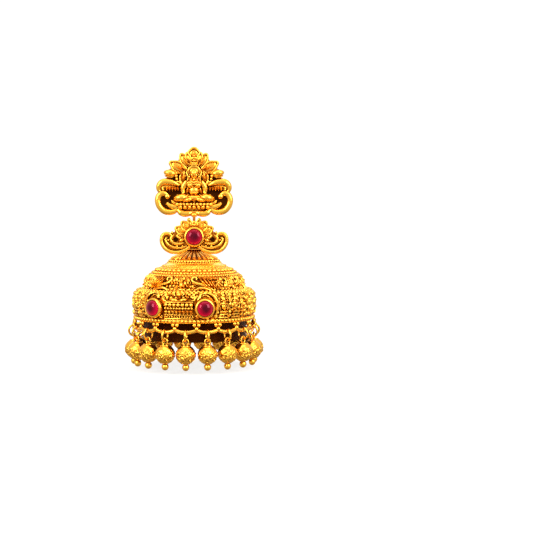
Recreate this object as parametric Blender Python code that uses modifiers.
"""A jhumka ear drop: a cast stud plaque on an ear post, a ruby-set connector, and a bell hung with balls.

Metres, +Z up. The front faces -Y. The origin is where the ear post meets the back of the stud plaque.
Azimuths on the dome are in degrees from its front, growing towards +X.
"""
import math

import bmesh
import bpy
from mathutils import Matrix, Vector

MM = 0.001
MERGE = 0.000001

# How far a plaque's rough back stands behind its finished plane, and how deep the trimming goes
TRIM = 0.05 * MM
TRIM_DEPTH = 3.0 * MM

# Clearances between separate pieces
LINK_GAP = 0.12 * MM
STONE_GAP = 0.12 * MM
SEAT_GAP = 0.30 * MM

# Stud plaque
STUD_WIDTH = 18.5 * MM
STUD_HEIGHT = 17.2 * MM
STUD_THICKNESS = 0.9 * MM
POST_BELOW_TOP = 7.3 * MM
RIM_WIRE = 0.50 * MM
VOLUTE_WIRE = 1.15 * MM
ARM_SCROLL_WIRE = 1.20 * MM
UPPER_ARM_WIRE = 0.65 * MM
LOWER_ARM_WIRE = 0.75 * MM
FIGURE_RELIEF = 2.0 * MM

# Ear post
POST_LENGTH = 11.0 * MM
POST_WIRE = 0.95 * MM
PAD_WIDTH = 3.2 * MM
PAD_THICKNESS = 0.5 * MM

# Connector plaque
CONNECTOR_WIDTH = 16.4 * MM
CONNECTOR_HEIGHT = 8.0 * MM
CONNECTOR_THICKNESS = 0.7 * MM
SCROLL_WIRE = 0.75 * MM
EYELET_FLOOR = 0.22 * MM
CONNECTOR_RUBY = 3.66 * MM
RUBY_BELOW_TOP_SHARE = 0.475
BEZEL_WALL = 0.45 * MM
BEZEL_HEIGHT = 1.1 * MM

# Hanging loops between the plaques and the dome
LOOP_WIRE = 0.70 * MM
LOOP_OPENING = 1.30 * MM
# How much of the eye's wire is sunk in the neck
EYE_SUNK_SHARE = 0.2
STAPLE_WIDTH = 3.2 * MM
STAPLE_REACH = 2.6 * MM
BAR_ABOVE_EDGE = 1.2 * MM
BAR_BELOW_RUBY = 0.45 * MM
# How far the lower bar stands behind the upper one, which keeps the hanging connector upright
BALANCE = 0.10 * MM

# Dome
DOME_RADIUS = 14.5 * MM
DOME_HEIGHT = 17.8 * MM
DOME_WALL = 0.9 * MM
DOME_SIDES = 28
NECK_RADIUS = 1.58 * MM
NECK_SHARE = 0.100
DOME_RUBY = 3.5 * MM
RUBY_HEIGHT_SHARE = 0.192
RELIEF = 0.9 * MM

# Gallery, rings and drops
DROPS = 18
DROP_TURN = 12.0
SWAG_WIRE = 0.90 * MM
SWAG_SAG = 0.75 * MM
GALLERY_DEPTH = 2.35 * MM
GALLERY_INSET_SHARE = 0.15
RING_WIRE = 0.50 * MM
RING_OPENING = 2.10 * MM
BALL_RADIUS = 2.30 * MM
FINIAL_RADIUS = 0.86 * MM
DROP_EYE_WIRE = 0.40 * MM
DROP_EYE_OPENING = 0.86 * MM
DROP_SIDES = 10
LOOP_SIDES = 10

# Shares of plate thicknesses and wires that place and size the soldered forms
FORM_SEAT = 0.8
VOLUTE_SEAT = 0.6
RIM_INSET = 0.35
VOLUTE_BALL = 0.72
INNER_SCROLL_SHARE = 0.75
PETAL_MIDDLE = 0.78
PETAL_HALF = 0.27
PETAL_DEPTH = 0.7
RELIEF_PROUD = 0.15
# Shares of a bezel's height and wall, and of a stone's radius
BEZEL_FLOOR = 0.45
BEZEL_SHOULDER = 0.8
BEZEL_SUNK = 0.5
BEZEL_LIP = 0.3
STONE_CROWN = 0.5
# Shares of the swag wire in a gallery bead's half width and half depth
BEAD_WIDTH = 0.85
BEAD_DEPTH = 0.66
BEAD_OUTWARD = 1.004
# A swag's knots. Columns: share of the way along it, share of its sag
SWAG_KNOTS = ((0.0, 0.0), (0.33, 1.0), (0.67, 1.0))
# A drop: its eye's stretch, the collar's share of the ball, and the profile's rows in degrees from the top
EYE_STRETCH = 1.22
EYE_IN_BALL = 0.6
COLLAR_SHARE = 0.34
COLLAR_RISE = 0.09 * MM
FINIAL_SUNK = 0.8
BALL_ROWS = (38, 70, 102, 134, 163)
FINIAL_ROWS = (62, 118)
# A post's tip and pad fillet, as shares of its wire and of the pad's thickness
TIP_SHARE = 0.3
PAD_FILLET = 1.4

# Stations worked out from the sizes above
STUD_TOP = POST_BELOW_TOP
STUD_BOTTOM = STUD_TOP - STUD_HEIGHT
LOOP_RADIUS = (LOOP_OPENING + LOOP_WIRE) / 2
LOOP_SEAT = (LOOP_OPENING - LOOP_WIRE) / 2 - LINK_GAP
STUD_BAR = Vector((0.0, STAPLE_REACH, STUD_BOTTOM + BAR_ABOVE_EDGE))
CONNECTOR_TOP = STUD_BOTTOM - SEAT_GAP
RUBY_CENTRE = Vector((0.0, 0.0, CONNECTOR_TOP - RUBY_BELOW_TOP_SHARE * CONNECTOR_HEIGHT))
DOME_BAR = Vector((0.0, STAPLE_REACH + BALANCE, RUBY_CENTRE.z - BAR_BELOW_RUBY))
DOME_TOP = DOME_BAR.z - LOOP_RADIUS - LOOP_SEAT - LOOP_WIRE * EYE_SUNK_SHARE
DOME_RIM = DOME_TOP - DOME_HEIGHT
DOME_AXIS_Y = DOME_BAR.y
GALLERY_RADIUS = DOME_RADIUS - DOME_WALL * GALLERY_INSET_SHARE
SWAG_LOW = DOME_RIM - GALLERY_DEPTH
RING_RADIUS = (RING_OPENING + RING_WIRE) / 2
RING_CENTRE_Z = SWAG_LOW + SWAG_WIRE / 2 + LINK_GAP - RING_OPENING / 2
DROP_EYE_TOP = RING_CENTRE_Z - RING_RADIUS + RING_WIRE / 2 + LINK_GAP + DROP_EYE_WIRE / 2

# Halo outline, right half, from the crown of the arch down to the end of the arm scroll.
# Columns: share of half the plaque's width, share of its height from the bottom.
HALO = (
    (0.000, 0.996), (0.090, 0.982), (0.164, 0.930), (0.190, 0.890),
    (0.300, 0.915), (0.350, 0.838), (0.455, 0.862), (0.488, 0.782),
    (0.640, 0.786), (0.610, 0.705), (0.700, 0.680), (0.780, 0.640),
    (0.740, 0.570), (0.880, 0.545), (0.945, 0.480), (0.930, 0.410),
)
# Lower outline, right half, from the volute's top down to the tip between the bottom leaves.
THRONE = (
    (0.870, 0.375), (0.925, 0.330), (0.930, 0.250), (0.880, 0.170),
    (0.780, 0.125), (0.620, 0.115), (0.450, 0.105),
    (0.330, 0.035), (0.190, 0.004), (0.000, 0.000),
)
# The stretch of HALO that carries the raised rim wire ends at this row.
RIM_ROWS = 10
# Side volute's wire, right side, from its ball inwards under the plaque. Columns as in HALO.
VOLUTE = (
    (0.700, 0.318), (0.735, 0.352), (0.820, 0.364), (0.905, 0.338), (0.950, 0.280), (0.945, 0.205),
    (0.895, 0.145), (0.800, 0.112), (0.680, 0.105), (0.540, 0.122), (0.400, 0.165),
)
# Thick arm scroll above the opening, right side.
ARM_SCROLL = ((0.440, 0.520), (0.680, 0.535), (0.840, 0.520), (0.915, 0.465), (0.905, 0.395))
# Raised and lowered arms of the figure, right side.
UPPER_ARM = ((0.200, 0.520), (0.350, 0.520), (0.395, 0.610))
LOWER_ARM = ((0.215, 0.515), (0.290, 0.420), (0.260, 0.350))
# Swelling forms of the stud. Columns: name, across, up, half width, half height (shares as above),
# turn in degrees, and half depth as a share of the figure's relief. Rows off the centre are mirrored.
STUD_FORMS = (
    ("head", 0.000, 0.637, 0.118, 0.066, 0, 0.55),
    ("hair", 0.000, 0.668, 0.165, 0.074, 0, 0.40),
    ("crown", 0.000, 0.760, 0.105, 0.105, 0, 0.45),
    ("crown_tip", 0.000, 0.880, 0.055, 0.050, 0, 0.35),
    ("chest", 0.000, 0.490, 0.215, 0.062, 0, 0.50),
    ("waist", 0.000, 0.410, 0.120, 0.075, 0, 0.45),
    ("knee", 0.270, 0.292, 0.255, 0.048, 0, 0.62),
    ("lotus_bud", 0.400, 0.640, 0.085, 0.050, 0, 0.40),
    ("lobe", 0.690, 0.628, 0.125, 0.052, 8, 0.55),
    ("petal_outer", 0.530, 0.745, 0.110, 0.040, 35, 0.30),
    ("petal_inner", 0.370, 0.790, 0.105, 0.038, 52, 0.30),
    ("throne_beads", 0.000, 0.222, 0.480, 0.040, 0, 0.62),
    ("throne_petals", 0.000, 0.160, 0.430, 0.050, 0, 0.55),
    ("bottom_leaf", 0.225, 0.055, 0.235, 0.040, 24, 0.50),
    ("bottom_petal", 0.000, 0.035, 0.110, 0.050, 0, 0.62),
)

# Connector outline, right half, from the top notch of the fan down to the bezel's foot.
# Columns: share of half the connector's width, share of its height from the ruby's centre.
FAN = (
    (0.000, 0.400), (0.110, 0.390), (0.215, 0.470), (0.300, 0.400),
    (0.390, 0.425), (0.430, 0.300), (0.560, 0.255), (0.620, 0.130),
    (0.760, 0.150), (0.900, 0.080), (0.950, -0.060), (0.900, -0.240),
    (0.760, -0.410), (0.560, -0.455), (0.330, -0.420), (0.150, -0.280), (0.000, -0.270),
)
OUTER_SCROLL = (
    (0.130, -0.300), (0.330, -0.430), (0.560, -0.475), (0.780, -0.420), (0.915, -0.260),
    (0.955, -0.060), (0.890, 0.090), (0.780, 0.120), (0.690, 0.050), (0.700, -0.060),
)
INNER_SCROLL = ((0.260, -0.255), (0.450, -0.335), (0.640, -0.300), (0.770, -0.190), (0.800, -0.060))
# Fan petals. Columns: degrees from the top, reach and half width as shares of the connector's height.
FAN_PETALS = (
    (0, 0.330, 0.045), (23, 0.385, 0.058), (44, 0.400, 0.055), (65, 0.415, 0.052), (100, 0.330, 0.050),
)
# Small sunk eyelets beside the bezel. Columns: across, up (shares as in FAN), half width (of height).
EYELETS = ((0.552, -0.075, 0.075), (0.815, 0.000, 0.042))

# Dome's outer profile, from the neck's top to the rim.
# Columns: share of the dome's radius, share of its height from the top.
DOME_OUTSIDE = (
    (0.162, 0.115), (0.393, 0.205), (0.424, 0.220), (0.418, 0.238),
    (0.525, 0.288), (0.548, 0.322), (0.620, 0.340), (0.660, 0.372), (0.760, 0.425),
    (0.800, 0.474), (0.828, 0.541), (0.830, 0.592), (0.935, 0.615), (0.975, 0.665),
    (0.985, 0.880), (0.972, 0.950), (1.000, 0.968), (1.000, 0.992), (0.980, 1.000),
)
# Inner skirt, which hangs inside the rim behind the gallery, from its outer root down and back up inside.
# Columns as in DOME_OUTSIDE.
SKIRT = ((0.905, 1.000), (0.858, 1.040), (0.858, 1.262), (0.818, 1.262), (0.818, 1.020), (0.890, 0.950))
# Dome's inside above the skirt up to the crown, where the wall stands one thickness in from the radius.
# Columns as in DOME_OUTSIDE.
DOME_INSIDE = (
    (0.985, 0.870), (0.985, 0.700), (0.930, 0.655), (0.830, 0.628),
    (0.755, 0.450), (0.485, 0.295), (0.230, 0.200),
)
CROWN_INSIDE = 0.185
# Azimuths of the two figure panels, and of the rubies to either side of a panel's middle
PANELS = (-14.8, 165.2)
RUBY_TURN = 24.1
# Relief on a figure panel. Columns: name, degrees from the panel's middle, share of the dome's height
# from the top, half width and half height in millimetres, tilt in degrees. Rows off the middle are mirrored.
PANEL_FORMS = (
    ("throne", 0.0, 0.850, 3.10, 1.05, 0),
    ("seated_body", 0.0, 0.745, 1.30, 1.10, 0),
    ("seated_head", 0.0, 0.660, 0.62, 0.72, 0),
    ("plume", 20.0, 0.500, 0.70, 1.70, 30),
    ("sepal", 34.0, 0.700, 0.65, 1.30, -30),
)
# Relief between the panels, counted in degrees from the middle of a stretch between two panels
BETWEEN_FORMS = (
    ("standing_near", 34.0, 0.800, 0.85, 2.10, 0),
    ("standing_far", 47.0, 0.800, 0.80, 2.00, 0),
    ("flower", 0.0, 0.790, 1.70, 1.70, 0),
    ("upper_bud", 13.0, 0.500, 1.10, 0.90, 0),
)
# Pierced holes, counted as the relief above. Columns: degrees from the middle, share of the dome's height
# from the top, half width and half height in millimetres.
PANEL_HOLES = ((13.3, 0.790, 0.36, 1.05), (24.1, 0.632, 0.55, 0.34))
BETWEEN_HOLES = ((39.6, 0.495, 0.38, 0.52),)

parts = None
cutters = None


def clear_scene():
    for thing in list(bpy.data.objects):
        bpy.data.objects.remove(thing, do_unlink=True)


def material(name, colour, roughness, metallic):
    made = bpy.data.materials.new(name)
    made.use_nodes = True
    shader = made.node_tree.nodes["Principled BSDF"]
    shader.inputs["Base Color"].default_value = (*colour, 1.0)
    shader.inputs["Roughness"].default_value = roughness
    shader.inputs["Metallic"].default_value = metallic
    return made


def add_object(name, mesh, collection):
    made = bpy.data.objects.new(name, mesh)
    collection.objects.link(made)
    return made


def add_bmesh(name, shape, collection):
    mesh = bpy.data.meshes.new(name)
    bmesh.ops.recalc_face_normals(shape, faces=shape.faces)
    shape.to_mesh(mesh)
    shape.free()
    return add_object(name, mesh, collection)


def as_mesh(made, collection):
    """The object as the viewport shows it, welded, as a new mesh object in the given collection."""
    bpy.context.view_layer.update()
    seen = made.evaluated_get(bpy.context.evaluated_depsgraph_get())
    mesh = bpy.data.meshes.new_from_object(seen)
    shape = bmesh.new()
    shape.from_mesh(mesh)
    shape.transform(made.matrix_world)
    bmesh.ops.remove_doubles(shape, verts=shape.verts, dist=MERGE)
    bpy.data.meshes.remove(mesh)
    name = made.name
    bpy.data.objects.remove(made, do_unlink=True)
    return add_bmesh(name, shape, collection)


def swelling(name, centre, radii, turn=None, sides=8, rows=5):
    """An ellipsoid with its poles along Y, so that its round side faces the front."""
    shape = bmesh.new()
    placing = Matrix.Translation(centre) @ (turn or Matrix()) @ Matrix.Diagonal((*radii, 1.0))
    lie = Matrix.Rotation(math.radians(90), 4, "X")
    bmesh.ops.create_uvsphere(shape, u_segments=sides, v_segments=rows, radius=1.0, matrix=placing @ lie)
    return add_bmesh(name, shape, cutters)


def wire(name, points, thickness, closed=False):
    """A six-sided wire through the points, with its ends capped."""
    curve = bpy.data.curves.new(name, "CURVE")
    curve.dimensions = "3D"
    curve.bevel_depth = thickness / 2
    curve.bevel_resolution = 1
    curve.use_fill_caps = True
    spline = curve.splines.new("POLY")
    spline.points.add(len(points) - 1)
    for point, place in zip(spline.points, points):
        point.co = (*place, 1.0)
    spline.use_cyclic_u = closed
    return as_mesh(add_object(name, curve, cutters), cutters)


def back_plane(width, top, bottom):
    """A block that trims a plaque's back flat at Y = 0."""
    shape = bmesh.new()
    middle = Vector((0.0, TRIM_DEPTH / 2, (top + bottom) / 2))
    size = (width * 1.5, TRIM_DEPTH, (top - bottom) * 1.5, 1.0)
    bmesh.ops.create_cube(shape, size=1.0, matrix=Matrix.Translation(middle) @ Matrix.Diagonal(size))
    return add_bmesh("back_plane", shape, cutters)


def plate(name, outline, thickness):
    """A flat plate in the XZ plane from an outline; its back stands a little behind Y = 0, to be trimmed."""
    thickness += TRIM
    curve = bpy.data.curves.new(name, "CURVE")
    curve.dimensions = "2D"
    curve.fill_mode = "BOTH"
    curve.extrude = thickness / 2
    spline = curve.splines.new("POLY")
    spline.points.add(len(outline) - 1)
    for point, (across, up) in zip(spline.points, outline):
        point.co = (across, up, 0.0, 1.0)
    spline.use_cyclic_u = True
    made = add_object(name, curve, cutters)
    centre = Vector((0.0, TRIM - thickness / 2, 0.0))
    made.matrix_world = Matrix.Translation(centre) @ Matrix.Rotation(math.radians(90), 4, "X")
    return as_mesh(made, cutters)


def loop(name, centre, radius, thickness, placing, stretch=1.0):
    """A torus of five-sided wire; placing turns it from the XY plane, in which stretch makes it an oval."""
    bpy.ops.mesh.primitive_torus_add(
        major_segments=LOOP_SIDES, minor_segments=5, major_radius=radius, minor_radius=thickness / 2)
    made = bpy.context.object
    made.name = name
    for vertex in made.data.vertices:
        out = Vector((vertex.co.x, vertex.co.y, 0.0))
        middle = out.normalized() * radius
        vertex.co.y += middle.y * (stretch - 1.0)
    made.data.transform(Matrix.Translation(centre) @ placing)
    for owner in list(made.users_collection):
        owner.objects.unlink(made)
    cutters.objects.link(made)
    return made


def turned(name, profile, sides):
    """A closed turned body from a profile of (radius, height) that runs down its outer side."""
    mesh = bpy.data.meshes.new(name)
    points = [(radius, 0.0, height) for radius, height in profile]
    mesh.from_pydata(points, [(i, i + 1) for i in range(len(points) - 1)], [])
    made = add_object(name, mesh, cutters)
    screw = made.modifiers.new("Turn", "SCREW")
    screw.axis = "Z"
    screw.angle = math.tau
    screw.steps = sides
    screw.render_steps = sides
    screw.use_merge_vertices = True
    screw.merge_threshold = MERGE
    return as_mesh(made, cutters)


def peg(name, start, end, radius, sides=8):
    """A straight round cutter from start to end."""
    shape = bmesh.new()
    along = end - start
    placing = Matrix.Translation((start + end) / 2) @ along.to_track_quat("Z", "Y").to_matrix().to_4x4()
    bmesh.ops.create_cone(shape, cap_ends=True, segments=sides, radius1=radius, radius2=radius,
                          depth=along.length, matrix=placing)
    return add_bmesh(name, shape, cutters)


def gather(name, pieces):
    """Puts the pieces in a collection of their own, as guides that the part leaves out."""
    group = bpy.data.collections.new(name)
    cutters.children.link(group)
    for piece in pieces:
        cutters.objects.unlink(piece)
        group.objects.link(piece)
        piece.hide_render = True
        piece.display_type = "WIRE"
    return group


def solder(base, pieces, holes=(), last=()):
    """Joins the pieces to the base, cuts the holes through the whole, and then joins what comes last."""
    steps = (("soldered", pieces, "UNION"), ("pierced", holes, "DIFFERENCE"), ("hung", last, "UNION"))
    for label, operands, operation in steps:
        if operands:
            step = base.modifiers.new(label, "BOOLEAN")
            step.operation = operation
            step.operand_type = "COLLECTION"
            step.collection = gather(base.name + "_" + label, operands)
            step.solver = "EXACT"


def finish(made, surface):
    """Moves a piece among the parts, with its material."""
    cutters.objects.unlink(made)
    parts.objects.link(made)
    made.data.materials.clear()
    made.data.materials.append(surface)
    made.data.shade_smooth()
    made.data.set_sharp_from_angle(angle=math.radians(40))
    return made


def mirrored(points):
    return [Vector((-point.x, point.y, point.z)) for point in points]


def stud_place(across, up, forward=0.0):
    return Vector((across * STUD_WIDTH / 2, -forward, STUD_BOTTOM + up * STUD_HEIGHT))


def link_place(across, up, forward=0.0):
    return Vector((across * CONNECTOR_WIDTH / 2, -forward, RUBY_CENTRE.z + up * CONNECTOR_HEIGHT))


def staple(name, bar):
    """A wire staple standing back from a plaque, whose bar runs along X through the given point."""
    half = STAPLE_WIDTH / 2
    root = Vector((0.0, -STUD_THICKNESS / 2, bar.z))
    bend = LOOP_WIRE / 2
    points = [
        Vector((-half, root.y, bar.z)),
        Vector((-half, bar.y - bend, bar.z)),
        Vector((-half + bend, bar.y, bar.z)),
        Vector((half - bend, bar.y, bar.z)),
        Vector((half, bar.y - bend, bar.z)),
        Vector((half, root.y, bar.z)),
    ]
    return wire(name, points, LOOP_WIRE)


def make_stud(gold):
    right = [stud_place(across, up) for across, up in HALO + THRONE]
    outline = [(p.x, p.z) for p in right] + [(-p.x, p.z) for p in reversed(right[1:-1])]
    base = plate("stud_plaque", outline, STUD_THICKNESS)
    pieces = []
    front = STUD_THICKNESS
    rim = [stud_place(across, up, front) for across, up in HALO[:RIM_ROWS]]
    inward = RIM_WIRE * RIM_INSET
    rim = [Vector((max(p.x - inward, 0.0), p.y, p.z - inward)) for p in rim]
    pieces.append(wire("rim_wire", mirrored(rim[:0:-1]) + rim, RIM_WIRE))
    for side in (1, -1):
        for name, rows, thickness in (
            ("volute", VOLUTE, VOLUTE_WIRE),
            ("arm_scroll", ARM_SCROLL, ARM_SCROLL_WIRE),
            ("upper_arm", UPPER_ARM, UPPER_ARM_WIRE),
            ("lower_arm", LOWER_ARM, LOWER_ARM_WIRE),
        ):
            depth = front * VOLUTE_SEAT if name == "volute" else front
            points = [stud_place(side * across, up, depth) for across, up in rows]
            pieces.append(wire(name, points, thickness))
        curl = stud_place(side * VOLUTE[0][0], VOLUTE[0][1], front * VOLUTE_SEAT)
        pieces.append(swelling("volute_ball", curl, (VOLUTE_WIRE * VOLUTE_BALL,) * 3))
    for name, across, up, half_width, half_height, turn, relief in STUD_FORMS:
        sides = 7 if across else 8
        for side in (1, -1) if across else (1,):
            radii = (half_width * STUD_WIDTH / 2, relief * FIGURE_RELIEF, half_height * STUD_HEIGHT)
            lean = Matrix.Rotation(math.radians(-turn * side), 4, "Y")
            centre = stud_place(side * across, up, front * FORM_SEAT)
            pieces.append(swelling(name, centre, radii, lean, sides, 4))
    trim = back_plane(STUD_WIDTH, STUD_TOP, STUD_BOTTOM)
    solder(base, pieces, [trim], [staple("stud_staple", STUD_BAR)])
    finish(base, gold)


def make_post(gold):
    seat = LINK_GAP
    profile = (
        (0.0, -seat), (PAD_WIDTH / 2, -seat), (PAD_WIDTH / 2, -seat - PAD_THICKNESS),
        (POST_WIRE / 2, -seat - PAD_THICKNESS * PAD_FILLET), (POST_WIRE / 2, -POST_LENGTH + POST_WIRE / 2),
        (POST_WIRE * TIP_SHARE, -POST_LENGTH), (0.0, -POST_LENGTH),
    )
    post = turned("ear_post", profile, 10)
    post.data.transform(Matrix.Rotation(math.radians(90), 4, "X"))
    finish(post, gold)


def bezel(name, radius):
    """A closed cup for a round stone, opening towards +Z, with its floor at half its height."""
    outer = radius + STONE_GAP + BEZEL_WALL
    inner = radius + STONE_GAP
    profile = (
        (0.0, BEZEL_HEIGHT * BEZEL_FLOOR), (inner, BEZEL_HEIGHT * BEZEL_FLOOR), (inner, BEZEL_HEIGHT),
        (outer - BEZEL_WALL * BEZEL_LIP, BEZEL_HEIGHT), (outer, BEZEL_HEIGHT * BEZEL_SHOULDER),
        (outer, -BEZEL_HEIGHT * BEZEL_SUNK), (0.0, -BEZEL_HEIGHT * BEZEL_SUNK),
    )
    return turned(name, profile, 12)


def cabochon(name, radius, placing, ruby):
    """A domed round stone that sits in its bezel a stone's gap above the floor."""
    floor = BEZEL_HEIGHT * BEZEL_FLOOR + STONE_GAP
    crown = BEZEL_HEIGHT + radius * STONE_CROWN
    profile = [(0.0, crown)]
    for step in range(1, 4):
        angle = math.radians(step * 30)
        height = (crown - BEZEL_HEIGHT) * math.cos(angle) + BEZEL_HEIGHT
        profile.append((radius * math.sin(angle), height))
    profile += [(radius, floor), (0.0, floor)]
    stone = turned(name, profile, 12)
    stone.data.transform(placing)
    finish(stone, ruby)


def facing_front(place):
    """Turns +Z to the front (-Y) and moves the origin to the place."""
    return Matrix.Translation(place) @ Matrix.Rotation(math.radians(90), 4, "X")


def make_connector(gold, ruby):
    right = [link_place(across, up) for across, up in FAN]
    outline = [(p.x, p.z) for p in right] + [(-p.x, p.z) for p in reversed(right[1:-1])]
    base = plate("connector_plaque", outline, CONNECTOR_THICKNESS)
    front = CONNECTOR_THICKNESS
    pieces = []
    holes = []
    for side in (1, -1):
        for name, rows, thickness in (
            ("outer_scroll", OUTER_SCROLL, SCROLL_WIRE),
            ("inner_scroll", INNER_SCROLL, SCROLL_WIRE * INNER_SCROLL_SHARE),
        ):
            points = [link_place(side * across, up, front) for across, up in rows]
            pieces.append(wire(name, points, thickness))
        for across, up, half_width in EYELETS:
            start = link_place(side * across, up, front + SCROLL_WIRE)
            end = link_place(side * across, up, EYELET_FLOOR)
            holes.append(peg("scroll_eyelet", start, end, half_width * CONNECTOR_HEIGHT))
    for degrees, reach, half_width in FAN_PETALS:
        for side in (1, -1) if degrees else (1,):
            turn = math.radians(degrees * side)
            out = Vector((math.sin(turn), 0.0, math.cos(turn)))
            centre = RUBY_CENTRE + out * reach * PETAL_MIDDLE * CONNECTOR_HEIGHT
            centre += Vector((0.0, -front * FORM_SEAT, 0.0))
            width = half_width * CONNECTOR_HEIGHT
            length = reach * PETAL_HALF * CONNECTOR_HEIGHT
            lean = Matrix.Rotation(turn, 4, "Y")
            pieces.append(swelling("fan_petal", centre, (width, front * PETAL_DEPTH, length), lean, 6, 4))
    seat = facing_front(RUBY_CENTRE + Vector((0.0, -front, 0.0)))
    cup = bezel("connector_bezel", CONNECTOR_RUBY / 2)
    cup.data.transform(seat)
    pieces.append(cup)
    holes.append(back_plane(CONNECTOR_WIDTH, CONNECTOR_TOP, CONNECTOR_TOP - CONNECTOR_HEIGHT))
    hung = [staple("connector_staple", DOME_BAR)]
    hung += hanging_loop("connector_eye", STUD_BAR, Vector((0.0, -front / 2, link_place(0.0, 0.28).z)))
    solder(base, pieces, holes, hung)
    finish(base, gold)
    cabochon("connector_ruby", CONNECTOR_RUBY / 2, seat, ruby)


def hanging_loop(name, bar, root):
    """A wire eye round a staple's bar, in the plane across it, and the tail that carries it to its root."""
    centre = bar - Vector((0.0, 0.0, LOOP_SEAT))
    upright = Matrix.Rotation(math.radians(90), 4, "Y")
    eye = loop(name, centre, LOOP_RADIUS, LOOP_WIRE, upright)
    foot = centre - Vector((0.0, 0.0, LOOP_RADIUS))
    tail = wire(name + "_tail", [foot, foot.lerp(root, 0.5), root], LOOP_WIRE)
    return [eye, tail]


def dome_place(radius, share, forward=0.0):
    """A point at the dome's front, before it is turned to its azimuth."""
    return Vector((0.0, -radius - forward, DOME_TOP - share * DOME_HEIGHT))


def dome_radius_at(share):
    """The dome's outer radius at a share of its height from the top."""
    for (r_above, above), (r_below, below) in zip(DOME_OUTSIDE, DOME_OUTSIDE[1:]):
        if above <= share <= below and below > above:
            return DOME_RADIUS * (r_above + (r_below - r_above) * (share - above) / (below - above))
    return DOME_RADIUS


def round_dome(azimuth):
    return Matrix.Translation((0.0, DOME_AXIS_Y, 0.0)) @ Matrix.Rotation(math.radians(azimuth), 4, "Z")


def relief(rows, middle):
    """Swelling forms on the dome's wall, and their mirror images, about a middle azimuth."""
    made = []
    for name, turn, share, half_width, half_height, tilt in rows:
        for side in (1, -1) if turn else (1,):
            radii = (half_width * MM, RELIEF, half_height * MM)
            lean = Matrix.Rotation(math.radians(-tilt * side), 4, "Y")
            place = dome_place(dome_radius_at(share), share, RELIEF * RELIEF_PROUD)
            form = swelling(name, place, radii, lean, sides=7, rows=4)
            form.data.transform(round_dome(middle + turn * side))
            made.append(form)
    return made


def drills(rows, middle):
    """Oval cutters through the dome's wall, and their mirror images, about a middle azimuth."""
    made = []
    for turn, share, half_width, half_height in rows:
        radius = dome_radius_at(share)
        outer = dome_place(radius + 2 * RELIEF, share)
        inner = dome_place(radius - 3 * DOME_WALL, share)
        level = Matrix.Translation((0.0, 0.0, outer.z))
        oval = level @ Matrix.Diagonal((1.0, 1.0, half_height / half_width, 1.0)) @ level.inverted()
        for side in (1, -1):
            cutter = peg("dome_hole", outer, inner, half_width * MM)
            cutter.data.transform(round_dome(middle + turn * side) @ oval)
            made.append(cutter)
    return made


def make_dome(gold, ruby):
    outside = [(NECK_RADIUS * 0.8, DOME_TOP), (NECK_RADIUS, DOME_TOP - 0.2 * NECK_RADIUS),
               (NECK_RADIUS, DOME_TOP - NECK_SHARE * DOME_HEIGHT)]
    outside += [(DOME_RADIUS * r, DOME_TOP - share * DOME_HEIGHT) for r, share in DOME_OUTSIDE + SKIRT]
    inside = [(DOME_RADIUS * r - DOME_WALL, DOME_TOP - share * DOME_HEIGHT) for r, share in DOME_INSIDE]
    profile = [(0.0, DOME_TOP)] + outside + inside + [(0.0, DOME_TOP - CROWN_INSIDE * DOME_HEIGHT)]
    base = turned("dome", profile, DOME_SIDES)
    base.data.transform(Matrix.Translation((0.0, DOME_AXIS_Y, 0.0)))
    pieces = []
    holes = []
    for panel in PANELS:
        pieces += relief(PANEL_FORMS, panel)
        pieces += relief(BETWEEN_FORMS, panel + 90)
        holes += drills(PANEL_HOLES, panel)
        holes += drills(BETWEEN_HOLES, panel + 90)
    place = dome_place(dome_radius_at(1 - RUBY_HEIGHT_SHARE), 1 - RUBY_HEIGHT_SHARE)
    number = 0
    for panel in PANELS:
        for side in (-1, 1):
            number += 1
            seat = round_dome(panel + side * RUBY_TURN) @ facing_front(place)
            cup = bezel("dome_bezel", DOME_RUBY / 2)
            cup.data.transform(seat)
            pieces.append(cup)
            cabochon(f"dome_ruby_{number}", DOME_RUBY / 2, seat, ruby)
    pieces += gallery()
    centre = DOME_BAR - Vector((0.0, 0.0, LOOP_SEAT))
    pieces.append(loop("dome_eye", centre, LOOP_RADIUS, LOOP_WIRE, Matrix.Rotation(math.radians(90), 4, "Y")))
    solder(base, pieces, holes)
    finish(base, gold)


def gallery():
    """The wavy wire of swags under the rim, and the upright beads that carry it."""
    step = 360.0 / DROPS
    points = []
    for number in range(DROPS):
        for share, drop in SWAG_KNOTS:
            azimuth = DROP_TURN + step * (number - 0.5 + share)
            low = Vector((0.0, -GALLERY_RADIUS, SWAG_LOW + SWAG_SAG * (1.0 - drop)))
            points.append(round_dome(azimuth) @ low)
    pieces = [wire("swag_wire", points, SWAG_WIRE, closed=True)]
    top = DOME_RIM + DOME_WALL * 0.3
    bottom = SWAG_LOW + SWAG_SAG - SWAG_WIRE * 0.2
    for number in range(DROPS):
        bead = swelling("gallery_bead", Vector((0.0, -GALLERY_RADIUS * BEAD_OUTWARD, (top + bottom) / 2)),
                        (SWAG_WIRE * BEAD_WIDTH, SWAG_WIRE * BEAD_DEPTH, (top - bottom) / 2), sides=7, rows=3)
        bead.data.transform(round_dome(DROP_TURN + step * (number + 0.5)))
        pieces.append(bead)
    return pieces


def make_rings(gold):
    step = 360.0 / DROPS
    ring = loop("swag_ring", Vector((0.0, -GALLERY_RADIUS, RING_CENTRE_Z)), RING_RADIUS, RING_WIRE,
                Matrix.Rotation(math.radians(90), 4, "Y"))
    copies(ring, "swag_ring", step, gold)


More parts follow.
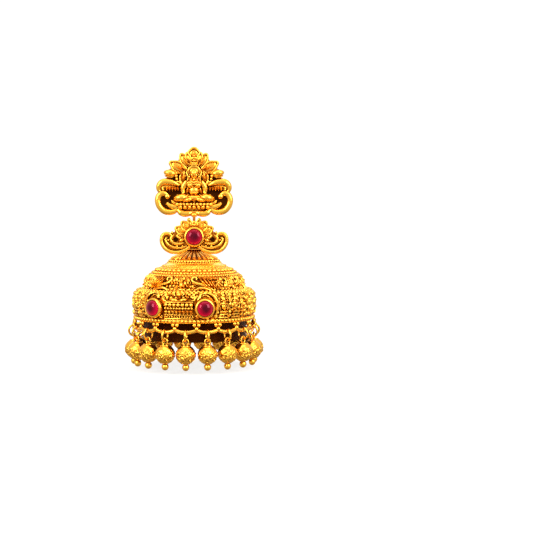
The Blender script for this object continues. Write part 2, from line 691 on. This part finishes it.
def make_drops(gold):
    """A ball with a finial bead, a collar and an eye that the swag ring passes through."""
    eye_half = (DROP_EYE_OPENING + DROP_EYE_WIRE) / 2
    eye_centre = DROP_EYE_TOP - eye_half * EYE_STRETCH
    ball_top = eye_centre - eye_half * EYE_STRETCH + DROP_EYE_WIRE * EYE_IN_BALL
    ball_z = ball_top - BALL_RADIUS
    finial_z = ball_z - BALL_RADIUS - FINIAL_RADIUS * FINIAL_SUNK
    profile = [(0.0, ball_top + COLLAR_RISE), (BALL_RADIUS * COLLAR_SHARE, ball_top)]
    for degrees in BALL_ROWS:
        angle = math.radians(degrees)
        profile.append((BALL_RADIUS * math.sin(angle), ball_z + BALL_RADIUS * math.cos(angle)))
    for degrees in FINIAL_ROWS:
        angle = math.radians(degrees)
        profile.append((FINIAL_RADIUS * math.sin(angle), finial_z + FINIAL_RADIUS * math.cos(angle)))
    profile.append((0.0, finial_z - FINIAL_RADIUS))
    ball = turned("drop", profile, DROP_SIDES)
    ball.data.transform(Matrix.Translation((0.0, -GALLERY_RADIUS, 0.0)))
    upright = Matrix.Rotation(math.radians(90), 4, "X")
    eye = loop("drop_eye", Vector((0.0, -GALLERY_RADIUS, eye_centre)), eye_half, DROP_EYE_WIRE, upright,
               stretch=EYE_STRETCH)
    solder(ball, [eye])
    copies(as_mesh(ball, cutters), "drop", 360.0 / DROPS, gold)


def copies(first, name, step, surface):
    """One object a drop's step apart round the dome, all sharing the first one's mesh."""
    finish(first, surface)
    for number in range(DROPS):
        made = first if number == 0 else add_object(name, first.data, parts)
        made.name = f"{name}_{number + 1:02d}"
        made.matrix_world = round_dome(DROP_TURN + step * number)


def main():
    global parts, cutters
    clear_scene()
    parts = bpy.data.collections.new("jhumka_earring")
    cutters = bpy.data.collections.new("cutters_and_guides")
    bpy.context.scene.collection.children.link(parts)
    bpy.context.scene.collection.children.link(cutters)
    gold = material("antique_gold", (0.78, 0.46, 0.10), 0.32, 1.0)
    ruby = material("ruby", (0.55, 0.01, 0.06), 0.08, 0.0)
    make_stud(gold)
    make_post(gold)
    make_connector(gold, ruby)
    make_dome(gold, ruby)
    make_rings(gold)
    make_drops(gold)


main()
